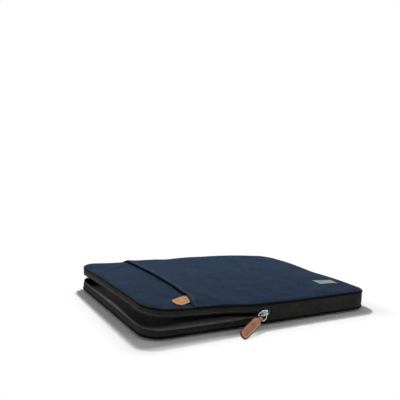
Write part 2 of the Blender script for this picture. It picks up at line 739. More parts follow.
def sweep(name, path, section, material, closed=False):
    """Carry a closed section, given as insets and heights in millimetres, along a path round the sleeve."""
    points, normals = path
    section = np.array(section) * MM
    around = path_lengths(section)
    along = path_lengths(points)
    count = len(section)
    verts = np.empty((len(points) * count, 3))
    uv = np.empty((len(points) * count, 2))
    for k, (inset, height) in enumerate(section):
        verts[k::count, :2] = points - normals * inset
        verts[k::count, 2] = height
        uv[k::count, 0] = along
        uv[k::count, 1] = around[k]
    faces = grid_faces(len(points), count, close_rows=closed, close_columns=True)
    if not closed:
        ring = range(count)
        last = (len(points) - 1) * count
        faces += [tuple(reversed(ring)), tuple(last + k for k in ring)]
    piece = make_mesh(name, verts, faces, uv, material)
    make_outward(piece)
    return piece


def ring_section(inset, height, radius, sides=12):
    return [(inset - radius * math.cos(a), height + radius * math.sin(a))
            for a in np.linspace(0, 2 * math.pi, sides, endpoint=False)]


def strip_section(heights, outer, inner):
    """Slim band, from its low, middle and high heights and its outer and inner insets at edge and middle."""
    low, middle, high = heights
    return [(outer[0], low), (outer[1], middle), (outer[0], high),
            (inner[0], high), (inner[1], middle), (inner[0], low)]


def hemmed_section(edge, seam):
    """Section of a wall of cloth from its seam to its folded free edge and back a little way inside."""
    outer = [(1.05, 0.0), (0.80, 0.14), (0.62, 0.42), (0.70, 0.72), (0.95, 0.90), (1.25, 0.98)]
    inner = [(1.75, 1.0), (2.1, 0.94), (2.2, 0.8), (2.2, 0.4), (2.2, 0.0)]
    return [(inset, seam + (edge - seam) * share) for inset, share in outer + inner]


def sag_share(x, y):
    """How much the lower wall droops at each place: none by the slider, most half way to the mouth."""
    side = smooth((-30 * MM - x) / (50 * MM)) * smooth((x + HALF_LENGTH + 4 * MM) / (70 * MM))
    end = smooth((30 * MM - x - HALF_LENGTH) / (30 * MM)) * smooth(1.0 - np.abs(y) / (118 * MM))
    return np.maximum(side, 0.45 * end)


def droop(points, loose=False):
    """Let the lower wall sag where the open zip leaves it unsupported; loose tape and lining fall inwards."""
    x, y, z = points.T
    share = sag_share(x, y)
    raised = np.maximum(z - WALL_FOOT, 0.0) / (ZIP_Z - WALL_FOOT)
    in_corner = smooth((-120 * MM - x) / (50 * MM)) * smooth((np.abs(y) - 85 * MM) / (40 * MM))
    sag, reach, curve = (-LOOSE_RISE, LOOSE_LEAN, 1.3) if loose else (settings().wall_sag, WALL_LEAN, 1.6)
    rise = raised * (CORNER_LIFT * in_corner * (1 - share) - sag * share)
    lean = -reach * share * raised ** curve
    if loose:
        creases = ripples(x, y, settings().seed + 11, 0.32) * share * raised
        lean += LOOSE_CREASE * creases
        rise += LOOSE_WAVE * creases
    out_x = np.where(np.abs(x) > HALF_LENGTH - 12 * MM, np.sign(x), 0.0)
    out_y = np.where(out_x == 0.0, np.sign(y), 0.0)
    return points + np.column_stack([out_x * lean, out_y * lean, rise])


def slump(points):
    return droop(points, loose=True)


# For the pieces of each part of the sleeve: the body that carries them, or none where they bend with the
# mouth, and how they are moved from the level, closed shape to where they lie at rest.
PARTS = {
    "top": (None, raise_mouth),
    "sewn top": ("tray", raise_mouth),
    "lower wall": ("tray", droop),
    "loose": ("tray", slump),
    "back": ("tray", None),
    "pull": ("leather_pull", None),
}


def hand_over(piece, part, slot, nodes=()):
    """Move a piece to where it lies at rest, and say what it replaces, its slot and what carries it."""
    body, move = PARTS[part]
    if move:
        piece.data.vertices.foreach_set("co", move(points_of(piece)).ravel())
        piece.data.update()
    if nodes:
        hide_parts(*nodes)
    if body:
        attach(piece, body)
    else:
        # The mouth end follows the flap, the sewn-down end stays, and the fold between turns softly.
        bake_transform(piece)
    return piece


def grid_lines(half, step):
    """Lines across a panel, close together over its rolled edges."""
    middle = half - EDGE_LINES[-1]
    inner = np.linspace(-middle, middle, int(2 * middle / step) + 1)
    return np.concatenate([-half + EDGE_LINES[:-1], inner, (half - EDGE_LINES[:-1])[::-1]])


def panel_plan(inset, step, start_x=None):
    """Plan points of a panel with the sleeve's rounded corners, in rows along x and columns along y."""
    half_x = HALF_LENGTH - inset
    half_y = HALF_WIDTH - inset
    radius = CORNER - inset
    along = grid_lines(half_x, step)
    if start_x is not None:
        along = np.concatenate([[start_x], along[along > start_x + step * 0.4]])
    s, t = np.meshgrid(along, grid_lines(half_y, step), indexing="ij")
    u = np.clip((np.abs(s) - (half_x - radius)) / radius, 0, 1)
    v = np.clip((np.abs(t) - (half_y - radius)) / radius, 0, 1)
    x = np.sign(s) * (np.minimum(np.abs(s), half_x - radius) + radius * u * np.sqrt(1 - v * v / 2))
    y = np.sign(t) * (np.minimum(np.abs(t), half_y - radius) + radius * v * np.sqrt(1 - u * u / 2))
    return x, y


def rolled_height(x, y, radius=ROLL):
    """Height of a panel whose edge rolls down to the piping."""
    inside = np.clip(ROLL_INSET - edge_distance(x, y), 0, radius * 0.98)
    return ROLL_CENTRE + np.sqrt(radius * radius - inside * inside)


def cushion(x, y):
    """Share of a padded panel's crown: one in the middle, none at the seams."""
    return (1 - (x / HALF_LENGTH) ** 2) * (1 - (y / HALF_WIDTH) ** 2)


class CreaseField:
    """How far the filled cover creases up or down, known on an even grid over the plan."""

    def __init__(self, reach_x, reach_y, heights):
        self.reach = (reach_x, reach_y)
        self.heights = heights

    def at(self, x, y):
        rows, columns = self.heights.shape
        i = np.clip((np.asarray(x) / self.reach[0] + 1) / 2 * (rows - 1), 0, rows - 1.001)
        j = np.clip((np.asarray(y) / self.reach[1] + 1) / 2 * (columns - 1), 0, columns - 1.001)
        low_i, low_j = i.astype(int), j.astype(int)
        part_i, part_j = i - low_i, j - low_j
        near = self.heights[low_i, low_j] * (1 - part_j) + self.heights[low_i, low_j + 1] * part_j
        far = self.heights[low_i + 1, low_j] * (1 - part_j) + self.heights[low_i + 1, low_j + 1] * part_j
        return near * (1 - part_i) + far * part_i


def softened(heights, times):
    """Average a grid of heights with its neighbours a number of times."""
    for _ in range(times):
        wide = np.pad(heights, 1, mode="edge")
        heights = (wide[:-2, 1:-1] + wide[2:, 1:-1] + wide[1:-1, :-2] + wide[1:-1, 2:] + 4 * heights) / 8
    return heights


def top_heights(piece, xs, ys):
    """Height of the piece's upper surface over a grid of places."""
    mesh = piece.data
    tree = BVHTree.FromPolygons([v.co for v in mesh.vertices], [p.vertices for p in mesh.polygons])
    heights = np.zeros((len(xs), len(ys)))
    for i, x in enumerate(xs):
        for j, y in enumerate(ys):
            place = tree.ray_cast(Vector((x, y, 1.0)), Vector((0, 0, -1)))[0]
            heights[i, j] = place.z if place else 0.0
    return heights


def simulate_filling():
    """Fill a pad of the cover's outline, sewn down all round, and keep how its top creases."""
    x, y = panel_plan(COVER_INSET, 6.0 * MM)
    pad = grid_piece("filling_trial", x, y, PAD_CROWN * cushion(x, y), "navy_cloth")
    thicken(pad, PAD)
    remesh = pad.modifiers.new("even mesh", "REMESH")
    remesh.mode = "VOXEL"
    remesh.voxel_size = PAD_MESH
    apply_modifiers(pad)
    xs = np.linspace(-HALF_LENGTH + 3 * MM, HALF_LENGTH - 3 * MM, 131)
    ys = np.linspace(-HALF_WIDTH + 3 * MM, HALF_WIDTH - 3 * MM, 95)
    before = top_heights(pad, xs, ys)
    points = points_of(pad)
    seam = pad.vertex_groups.new(name="seam")
    sewn = (edge_distance(points[:, 0], points[:, 1]) < PAD_SEAM) | (points[:, 2] < PAD_BACK)
    seam.add([int(k) for k in np.nonzero(sewn)[0]], 1.0, "REPLACE")
    cloth = pad.modifiers.new("filling", "CLOTH")
    for name, value in {
            "quality": 6, "mass": 0.25, "tension_stiffness": 20, "compression_stiffness": 20,
            "shear_stiffness": 8, "bending_stiffness": 0.05, "shrink_min": -settings().cloth_slack,
            "use_pressure": True, "uniform_pressure_force": 0.6, "vertex_group_mass": "seam"}.items():
        setattr(cloth.settings, name, value)
    cloth.settings.effector_weights.gravity = 0
    cloth.point_cache.frame_start = 1
    cloth.point_cache.frame_end = PAD_FRAMES
    for step in range(1, PAD_FRAMES + 1):
        bpy.context.scene.frame_set(step)
    apply_modifiers(pad)
    bpy.context.scene.frame_set(1)
    rise = np.clip(top_heights(pad, xs, ys) - before, -12 * MM, 16 * MM)
    discard(pad)
    creases = softened(rise, 4) - softened(rise, 60)
    CREASES["cover"] = CreaseField(xs[-1], ys[-1], CREASE_LIMIT * np.tanh(creases / CREASE_LIMIT))


def cover_height(x, y, layers=0.0):
    """Height of the padded top, or of a cloth that lies some way above it, with the upper half level."""
    plain = rolled_height(x, y) - RIM
    fuller = (FULL_FIELD.at(x, y) - 1.0) * plain + settings().crown * cushion(x, y)
    slack = 0.35 * MM * ripples(x, y, settings().seed)
    if "cover" in CREASES:
        creases = CREASES["cover"].at(x, y)
        for middle in PATCH_MIDDLE, TAB_MIDDLE:
            held = np.exp(-((x - middle.x) / (32 * MM)) ** 4 - ((y - middle.y) / (22 * MM)) ** 4)
            creases = creases * (1 - held)
        slack = slack + creases
    return rolled_height(x, y, ROLL + layers) + fuller + slack * smooth(edge_distance(x, y) / (20 * MM))


def border(x):
    """Marks the outermost ring of a grid of points."""
    ring = np.zeros(x.shape, bool)
    ring[0, :] = ring[-1, :] = ring[:, 0] = ring[:, -1] = True
    return ring


def tuck_under(x, y, z, ring, inward, down):
    """Turn the outermost ring of a panel in behind the piping."""
    out_x, out_y = outward(x, y)
    x = np.where(ring, x - out_x * inward, x)
    y = np.where(ring, y - out_y * inward, y)
    return x, y, np.where(ring, z - down, z)


# ----------------------------------------------------------------------------------------------
# Repeated shapes: stitches and zip turns
# ----------------------------------------------------------------------------------------------

def repeat_tree(name):
    """Geometry Nodes tree: copies of a small shape at an even pitch along a path."""
    tree = bpy.data.node_groups.new(name, "GeometryNodeTree")
    for socket, kind, default in (
            ("Geometry", "Geometry", None), ("Shape", "Object", None), ("Pitch", "Float", 3 * MM),
            ("Unevenness", "Float", 0.05), ("Seed", "Int", 1), ("Material", "Material", None)):
        made = tree.interface.new_socket(name=socket, in_out="INPUT", socket_type="NodeSocket" + kind)
        if default:
            made.default_value = default
    tree.interface.new_socket(name="Geometry", in_out="OUTPUT", socket_type="NodeSocketGeometry")
    kit = Nodes(tree)
    given = kit.add("NodeGroupInput").outputs
    curve = kit.add("GeometryNodeMeshToCurve", {"Mesh": given["Geometry"]}).outputs["Curve"]
    even = kit.add("GeometryNodeResampleCurve", {"Curve": curve, "Length": given["Pitch"]}, mode="LENGTH")
    up = kit.add("GeometryNodeInputNamedAttribute", {"Name": "up"}, data_type="FLOAT_VECTOR")
    up = next(output for output in up.outputs if output.enabled)
    tangent = kit.add("GeometryNodeInputTangent").outputs["Tangent"]
    along = kit.add("FunctionNodeAlignRotationToVector", {"Vector": tangent}, axis="X").outputs["Rotation"]
    stand = kit.add("FunctionNodeAlignRotationToVector", {"Rotation": along, "Vector": up}, axis="Z",
                    pivot_axis="X").outputs["Rotation"]
    uneven = given["Unevenness"]
    jitter = kit.add("FunctionNodeRandomValue", data_type="FLOAT_VECTOR")
    jitter = kit.feed(jitter, {"Min": kit.times(uneven, -1.0), "Max": uneven, "Seed": given["Seed"]})
    jitter = kit.add("FunctionNodeEulerToRotation", {0: jitter.outputs["Value"]}).outputs[0]
    turned = kit.add("FunctionNodeRotateRotation", {"Rotation": stand, "Rotate By": jitter},
                     rotation_space="LOCAL").outputs["Rotation"]
    shape = kit.add("GeometryNodeObjectInfo", {"Object": given["Shape"]}).outputs["Geometry"]
    copies = {"Points": even.outputs["Curve"], "Instance": shape, "Rotation": turned}
    copies = kit.add("GeometryNodeInstanceOnPoints", copies).outputs["Instances"]
    real = kit.add("GeometryNodeRealizeInstances", {"Geometry": copies}).outputs["Geometry"]
    paint = kit.add("GeometryNodeSetMaterial", {"Geometry": real, "Material": given["Material"]})
    kit.add("NodeGroupOutput", {"Geometry": paint.outputs["Geometry"]})
    return tree


def repeat_along(name, lines, shape, pitch, material, unevenness=0.05, seed=1):
    """Repeat a shape along open lines of points, which come with their up directions, and drop the shape."""
    tree = bpy.data.node_groups.get("Repeat along path") or repeat_tree("Repeat along path")
    points = []
    ups = []
    edges = []
    for line, up in lines:
        first = len(points)
        points += [tuple(p) for p in line]
        ups += [tuple(p) for p in up]
        edges += [(first + k, first + k + 1) for k in range(len(line) - 1)]
    mesh = bpy.data.meshes.new(name)
    mesh.from_pydata(points, edges, [])
    mesh.attributes.new("up", "FLOAT_VECTOR", "POINT").data.foreach_set("vector", np.array(ups).ravel())
    piece = add_object(name, mesh)
    modifier = piece.modifiers.new("repeat", "NODES")
    modifier.node_group = tree
    values = {"Shape": shape, "Pitch": pitch, "Unevenness": unevenness, "Seed": seed,
              "Material": MATERIALS[material]}
    for socket in tree.interface.items_tree:
        if socket.in_out == "INPUT" and socket.name in values:
            modifier[socket.identifier] = values[socket.name]
    apply_modifiers(piece)
    piece.data.polygons.foreach_set("use_smooth", [True] * len(piece.data.polygons))
    discard(shape)
    return piece


def stitch_shape(length, thick):
    """One stitch: a short plump thread, along x, whose pinched ends dive into the cloth."""
    sides = 6
    rings = ((-1.0, -1.1, 0.45), (-0.8, -0.1, 0.8), (0.0, 0.15, 1.0), (0.8, -0.1, 0.8), (1.0, -1.1, 0.45))
    points = []
    for along, height, radius in rings:
        for k in range(sides):
            a = 2 * math.pi * k / sides
            across, up = thick * radius * math.cos(a), thick * (height + radius * math.sin(a))
            points.append((along * length / 2, across, up))
    last = (len(rings) - 1) * sides
    faces = grid_faces(len(rings), sides, close_columns=True)
    faces += [tuple(range(sides)), tuple(last + k for k in reversed(range(sides)))]
    piece = make_mesh("stitch_shape", points, faces)
    make_outward(piece)
    return piece


def coil_turn_shape(width, height, lean):
    """One turn of the zip coil: a flattened loop of wire standing across the tape's edge."""
    steps = 12
    sides = 5
    across = width / 2 - COIL_WIRE
    up = height / 2 - COIL_WIRE
    points = []
    for k in range(steps):
        a = 2 * math.pi * k / steps
        centre = Vector((lean * math.cos(a), across * math.sin(a), up * math.cos(a)))
        for m in range(sides):
            b = 2 * math.pi * m / sides
            round_wire = Vector((math.sin(b), math.cos(b) * math.sin(a), math.cos(b) * math.cos(a)))
            points.append(centre + round_wire * COIL_WIRE)
    piece = make_mesh("coil_turn_shape", points, grid_faces(steps, sides, True, True))
    make_outward(piece)
    return piece


def wall_line(inset, height, start_x):
    """A line round the mouth end of the sleeve at a height, with the outward directions."""
    points, normals = outline(inset, start_x, 4 * MM)
    return (np.column_stack([points, np.full(len(points), height)]),
            np.column_stack([normals, np.zeros(len(points))]))


def flat_line(points):
    """A line of stitches on a surface that faces up."""
    return points, np.tile(UP, (len(points), 1))


def dense_line(corners, step):
    """Points at even steps along straight runs between corners."""
    corners = np.array(corners, float)
    out = [corners[:1]]
    for first, last in zip(corners[:-1], corners[1:]):
        count = max(1, int(np.linalg.norm(last - first) / step))
        out.append(first + (last - first) * (np.arange(1, count + 1) / count)[:, None])
    return np.concatenate(out)


# ----------------------------------------------------------------------------------------------
# Operators: one for each group of pieces
# ----------------------------------------------------------------------------------------------

class SLEEVE_OT_filling(bpy.types.Operator):
    """Work out how the filled cover creases, by a cloth simulation"""

    bl_idname = "sleeve.filling"
    bl_label = "Cover filling"

    def execute(self, context):
        simulate_filling()
        return {"FINISHED"}


def panel(name, surface, material, thickness, *given, upward=True, even=True, soft=0.0):
    """A sheet over a surface, given as its x, y and z, that is handed over with its part, slot and nodes."""
    piece = grid_piece(name, *surface, material, upward)
    thicken(piece, thickness, soft, even=even)
    return hand_over(piece, *given)


class SLEEVE_OT_cover(bpy.types.Operator):
    """Build the padded top cover, its padding and its lining"""

    bl_idname = "sleeve.cover"
    bl_label = "Top cover"

    def execute(self, context):
        x, y = panel_plan(COVER_INSET, 3.0 * MM)
        surface = tuck_under(x, y, cover_height(x, y), border(x), TUCK_IN, TUCK_DOWN)
        cover = panel("cover", surface, "navy_cloth", CLOTH, "top", "navy_weave",
                      ("cover_fabric", "mouth_fabric"))

        x, y = panel_plan(PADDING_INSET, 6.0 * MM)
        surface = x, y, cover_height(x, y, -1.1 * MM)
        padding = panel("cover_padding", surface, "foam_cells", COVER_PADDING, "top", "foam",
                        ("cover_foam", "mouth_foam"))

        x, y = panel_plan(LINING_INSET, 5.0 * MM)
        surface = x, y, 31.3 * MM + 0.25 * MM * ripples(x, y, settings().seed + 1, 0.8)
        lining = panel("cover_inner_lining", surface, "lining_cloth", LINING, "top", "lining",
                       ("cover_lining", "mouth_lining"))
        return {"FINISHED"}


class SLEEVE_OT_back(bpy.types.Operator):
    """Build the back cover, its padding and the floor lining"""

    bl_idname = "sleeve.back"
    bl_label = "Back cover"

    def execute(self, context):
        x, y = panel_plan(COVER_INSET, 4.0 * MM)
        surface = tuck_under(x, y, COVER_TOP - rolled_height(x, y), border(x), TUCK_IN, -TUCK_DOWN)
        back = panel("back_cover", surface, "navy_cloth", CLOTH, "back", "navy_weave", ("back_fabric",),
                     upward=False)

        x, y = panel_plan(PADDING_INSET, 8.0 * MM)
        surface = x, y, COVER_TOP - rolled_height(x, y, ROLL - 1.0 * MM) + 0.1 * MM
        padding = panel("back_padding", surface, "foam_cells", BACK_PADDING, "back", "foam", ("back_foam",),
                        upward=False)

        x, y = panel_plan(LINING_INSET, 5.0 * MM)
        surface = x, y, 5.2 * MM + 0.3 * MM * ripples(x, y, settings().seed + 2, 0.8)
        lining = panel("floor_lining", surface, "lining_cloth", LINING, "back", "lining", ("back_lining",))
        return {"FINISHED"}


def hem_line(y):
    """Where along the sleeve the pocket's hem lies: it is pulled towards the mouth at the slider side."""
    return POCKET_X - 1.2 * MM - 9.0 * MM * smooth((-np.asarray(y) - 92 * MM) / (45 * MM))


def pocket_surface(x, y):
    """Height of the pocket panel, which lies on the cover and stands off it at its open edge."""
    z = cover_height(x, y, POCKET_STAND)
    z = z + 0.22 * MM * ripples(x, y, settings().seed + 3, 0.8) * smooth(edge_distance(x, y) / (30 * MM))
    away = np.maximum(x - hem_line(y), 0)
    middle = smooth(4 * np.clip(1 - (y / (HALF_WIDTH - 3 * MM)) ** 2, 0, 1))
    lip = settings().lip_rise * np.exp(-away / LIP_REACH)
    hem = HEM_RISE * hill(away, 13 * MM)
    groove = HEM_GROOVE * hill(away - HEM_SEAM, 1.7 * MM)
    roll = HEM_ROLL * hill(away - HEM_SEAM / 2, 1.6 * MM)
    over_tab = hill(away, 9 * MM) * hill(np.maximum(np.abs(y - TAB_ACROSS) - 8 * MM, 0), 7 * MM)
    return z + (lip + hem + roll - groove) * middle + 0.5 * MM * over_tab


class SLEEVE_OT_pocket(bpy.types.Operator):
    """Build the front pocket with its folded hem and its stitching"""

    bl_idname = "sleeve.pocket"
    bl_label = "Front pocket"

    def execute(self, context):
        x, y = panel_plan(1.3 * MM, 2.6 * MM, POCKET_X + HEM_ROUND)
        x = x + (hem_line(y) - POCKET_X) * smooth(1 - (x - POCKET_X) / (60 * MM))
        tucked = border(x)
        tucked[0, 1:-1] = False
        x, y, z = tuck_under(x, y, pocket_surface(x, y), tucked, 0.7 * MM, 0.9 * MM)
        rows = [np.stack([x, y, z])]
        first_x, first_y, first_z = rows[0][:, 0]
        start = first_x - HEM_ROUND
        fold = HEM_ROUND * (0.15 + 0.85 * smooth(edge_distance(start, first_y) / (14 * MM)))
        for angle in np.linspace(math.radians(115), math.radians(270), 6):
            turned = (first_x + fold * math.cos(angle), first_y, first_z - fold + fold * math.sin(angle))
            rows.insert(0, np.stack(turned)[:, None])
        for back in np.linspace(2.0 * MM, HEM, 5):
            under = np.minimum(pocket_surface(start + back, first_y), first_z) - 2 * fold
            rows.insert(0, np.stack([first_x + back, first_y, under])[:, None])
        pocket = panel("pocket", np.concatenate(rows, axis=1), "navy_cloth", CLOTH, "top", "navy_weave",
                       ("pocket_panel", "pocket_mouth"), even=False)

        lines = []
        across = np.linspace(HEM_END - HALF_WIDTH, HALF_WIDTH - HEM_END, 110)
        for back in (HEM_SEAM - HEM_ROW, HEM_SEAM + HEM_ROW):
            at = hem_line(across) + back
            lines.append(flat_line(np.column_stack([at, across, pocket_surface(at, across) + 0.12 * MM])))
        rows = repeat_along("pocket_hem_stitching", lines, stitch_shape(2.7 * MM, 0.42 * MM),
                            settings().stitch_pitch, "dark_thread", 0.04, 3)
        hand_over(rows, "top", "navy_weave")
        return {"FINISHED"}


def tab_surface(out, side):
    """Places on the tab: how far they are out from the hem, and how far to either side."""
    free = np.clip(out / TAB_LENGTH, 0, 1)
    out = out - TAB_SKEW * side * free
    x = float(hem_line(TAB_ACROSS)) - out * math.cos(TAB_TURN) - side * math.sin(TAB_TURN)
    y = TAB_ACROSS - out * math.sin(TAB_TURN) + side * math.cos(TAB_TURN)
    free = np.clip(out / TAB_LENGTH, 0, 1)
    stand = TAB_STAND + 0.085 * np.minimum(out, 0) - 1.3 * MM * smooth(free * 1.2)
    curl = 0.35 * MM * free ** 4 + 0.2 * MM * (2 * side / TAB_WIDTH) ** 2 * free
    return x, y, cover_height(x, y) + stand + curl


def finish_leather(piece, inside, rim, thickness, soft, up, offset=-1.0):
    """Make a sheet look up and give it thickness and a dark edge; inside is how far in each point lies."""
    middle_face = 150  # well away from the ends
    if piece.data.polygons[middle_face].normal.dot(Vector(up)) < 0:
        piece.data.flip_normals()
    darkened = smooth((rim - inside) / RIM_FADE)
    piece.data.attributes.new("rim", "FLOAT", "POINT").data.foreach_set("value", darkened.ravel())
    piece.data.materials.append(MATERIALS["leather_edge"])
    thicken(piece, thickness, soft, offset, even=False, angle=55)


class SLEEVE_OT_tab(bpy.types.Operator):
    """Build the leather tab that sticks out from under the pocket's hem"""

    bl_idname = "sleeve.tab"
    bl_label = "Leather tab"

    def execute(self, context):
        clip = TAB_LENGTH - TAB_CLIP
        out = np.concatenate([np.linspace(TAB_ROOT, clip, 24), np.linspace(clip, TAB_LENGTH, 7)[1:]])[:, None]
        half = TAB_WIDTH / 2 - np.maximum(out - clip, 0)
        across = np.linspace(-1, 1, 19)
        surface = tab_surface(*np.broadcast_arrays(out, half * across))
        tab = grid_piece("leather_tab_piece", *surface, "tab_leather")
        inside = np.minimum(half * (1 - np.abs(across)), TAB_LENGTH - out)
        finish_leather(tab, inside, TAB_RIM, TAB_LEATHER, 0.28 * MM, UP)
        hand_over(tab, "top", "tan_leather", ("leather_tab",))

        side = TAB_WIDTH / 2 - TAB_ROW_INSET
        end = TAB_LENGTH - TAB_ROW_INSET
        turn = TAB_CLIP - TAB_ROW_INSET * 0.42
        line = dense_line([(0.5 * MM, -side), (end - turn, -side), (end, -side + turn), (end, side - turn),
                           (end - turn, side), (0.5 * MM, side)], 0.8 * MM)
        path = np.column_stack(tab_surface(*line.T))
        rows = repeat_along("tab_stitching", [flat_line(path)], stitch_shape(2.0 * MM, 0.22 * MM), 2.6 * MM,
                            "tan_thread", 0.05, 5)
        hand_over(rows, "top", "tan_leather")
        return {"FINISHED"}


def patch_place(along, across):
    """Plan position of a point of the patch, which is sewn on very slightly turned."""
    x = PATCH_MIDDLE.x + along * math.cos(PATCH_TURN) - across * math.sin(PATCH_TURN)
    y = PATCH_MIDDLE.y + along * math.sin(PATCH_TURN) + across * math.cos(PATCH_TURN)
    return x, y


class SLEEVE_OT_patch(bpy.types.Operator):
    """Build the blank woven patch with its stitched border"""

    bl_idname = "sleeve.patch"
    bl_label = "Blank patch"

    def execute(self, context):
        s, t = np.meshgrid(np.linspace(-1, 1, 33), np.linspace(-1, 1, 21), indexing="ij")
        x, y = patch_place(s * PATCH_LENGTH / 2, t * PATCH_WIDTH / 2)
        surface = x, y, pocket_surface(x, y) + 0.62 * MM + 0.12 * MM * ripples(x, y, 21, 0.3)
        patch = panel("blank_patch", surface, "patch_cloth", PATCH_CLOTH, "sewn top", "patch_weave",
                      ("label_patch",), soft=0.2 * MM)

        half_x = PATCH_LENGTH / 2 - PATCH_ROW_INSET
        half_y = PATCH_WIDTH / 2 - PATCH_ROW_INSET
        line = dense_line([(-half_x, -half_y), (half_x, -half_y), (half_x, half_y), (-half_x, half_y),
                           (-half_x, -half_y)], 1.0 * MM)
        x, y = patch_place(*line.T)
        path = np.column_stack([x, y, pocket_surface(x, y) + 0.66 * MM])
        rows = repeat_along("patch_stitching", [flat_line(path)], stitch_shape(1.7 * MM, 0.16 * MM),
                            2.2 * MM, "patch_thread", 0.05, 9)
        hand_over(rows, "sewn top", "patch_weave")
        return {"FINISHED"}


class SLEEVE_OT_piping(bpy.types.Operator):
    """Build the two rings of piping"""

    bl_idname = "sleeve.piping"
    bl_label = "Piping"

    def execute(self, context):
        for name, height, part, nodes in (
                ("upper_piping_cord", 31.0, "top", ("cover_piping", "mouth_piping")),
                ("lower_piping_cord", 5.0, "back", ("lower_piping",))):
            section = ring_section(1.5, height, 1.6)
            cord = sweep(name, whole_outline(0.0), section, "piping_cloth", closed=True)
            hand_over(cord, part, "piping_cord", nodes)
        return {"FINISHED"}


def wall_piece(name, part, section, material, slot, nodes, start_x=SEAM_X):
    """A wall of cloth round the mouth end of the sleeve, or round its sewn end."""
    path = outline(0.0, start_x, WALL_STEP, toward_mouth=part != "sewn top")
    return hand_over(sweep(name, path, section, material), part, slot, nodes)


class SLEEVE_OT_walls(bpy.types.Operator):
    """Build the cloth walls, their linings and the end wall's padding"""

    bl_idname = "sleeve.walls"
    bl_label = "Walls"

    def execute(self, context):
        cloth = ("wall_cloth", "wall_weave")
        lining = ("lining_cloth", "lining")
        end = [(1.05, 6.0), (0.8, 8.0), (0.62, 12.0), (0.55, 18.0), (0.62, 24.0), (0.8, 28.0), (1.05, 30.0),
               (1.8, 30.0), (1.8, 18.0), (1.8, 6.0)]
        wall_piece("upper_wall", "top", hemmed_section(23.9, 30.0), *cloth,
                   ("upper_gusset", "upper_gusset_ends"), SEAM_X + 0.5 * MM)
        wall_piece("lower_wall", "lower wall", hemmed_section(14.1, 6.0), *cloth, ("lower_gusset",),
                   SEAM_X + 0.5 * MM)
        wall_piece("end_wall", "sewn top", end, *cloth, ("end_gusset",), SEAM_X - 0.2 * MM)
        wall_piece("lower_wall_lining", "loose", strip_section((5.3, 9.0, 13.9), (2.6, 2.5), (3.2, 3.3)),
                   *lining, ("lower_gusset_lining",))
        wall_piece("upper_wall_lining", "top", strip_section((24.1, 27.0, 31.0), (2.6, 2.5), (3.2, 3.3)),
                   *lining, ("upper_gusset_lining", "upper_lining_ends"))
        wall_piece("end_wall_lining", "sewn top", strip_section((5.0, 18.0, 31.0), (5.0, 5.2), (5.6, 5.8)),
                   *lining, ("end_gusset_lining",))
        section = strip_section((6.4, 18.0, 29.6), (2.0, 1.9), (4.8, 4.9))
        padding = wall_piece("end_wall_padding", "sewn top", section, "foam_cells", "foam",
                             ("end_gusset_foam",), SEAM_X + 1 * MM)
        return {"FINISHED"}


class SLEEVE_OT_zip(bpy.types.Operator):
    """Build the zip's tapes, coils and stitching"""

    bl_idname = "sleeve.zip"
    bl_label = "Zip"

    def execute(self, context):
        for name, part, heights, nodes in (
                ("lower_tape", "loose", (9.6, 12.5, 15.5), ("lower_zip_tape",)),
                ("upper_tape", "top", (22.6, 25.5, 28.4), ("upper_zip_tape", "upper_tape_ends"))):
            section = strip_section(heights, (1.95, 1.9), (2.35, 2.4))
            wall_piece(name, part, section, "tape_cloth", "zip_tape", nodes)
        for name, part, height, nodes in (
                ("lower_coil", "loose", 16.3 * MM, ("lower_zip_coil",)),
                ("upper_coil", "top", 21.7 * MM, ("upper_zip_coil", "upper_coil_ends"))):
            turn = coil_turn_shape(2.5 * MM, 2.4 * MM, 0.35 * MM)
            line = wall_line(COIL_INSET, height, COIL_END)
            coil = repeat_along(name, [line], turn, settings().tooth_pitch, "coil_nylon", 0.03, 2)
            hand_over(coil, part, "zip_coil", nodes)
        for name, part, height in WALL_ROWS:
            line = wall_line(WALL_ROW_INSET, height, SEAM_X)
            stitch = stitch_shape(2.2 * MM, 0.2 * MM)
            rows = repeat_along(name, [line], stitch, settings().stitch_pitch, "dark_thread", 0.04, 4)
            hand_over(rows, part, "wall_weave")
        return {"FINISHED"}


class SLEEVE_OT_hardware(bpy.types.Operator):
    """Give the slider, its ring and the zip stops their metal"""

    bl_idname = "sleeve.hardware"
    bl_label = "Metal parts"

    def execute(self, context):
        for node in ("slider_body", "slider_bail", "pull_ring", "near_zip_stop", "far_zip_stop"):
            mesh = frame["nodes"][node].data
            mesh.materials.clear()
            mesh.materials.append(MATERIALS["dark_metal" if node.endswith("stop") else "plated_metal"])
        return {"FINISHED"}


def pull_places(along, across, rise):
    """Places on the pull, from distances along it, across it and off its face, and the way its face looks."""
    inner, outer = [Vector(JOINTS[name]["pos_m"]) for name in ("ring_swing", "leather_swing")]
    bar = Vector(JOINTS["leather_swing"]["axis"]).normalized()
    length = (outer - inner).normalized()
    face = length.cross(bar).normalized()
    steps = ((along, length), (across, bar), (rise, face))
    return np.array(outer) + sum(np.multiply.outer(distance, way) for distance, way in steps), face


def pull_half_width(u):
    """Half the pull's width at a distance from the bar: slim neck, shoulders, straight sides, round tip."""
    half = NECK_HALF + (PULL_HALF - NECK_HALF) * smooth((u - 5 * MM) / (9 * MM))
    tip = np.clip((u - (PULL_LENGTH - PULL_HALF)) / PULL_HALF, 0, 1)
    return half * np.sqrt(np.maximum(1 - tip * tip, 0))


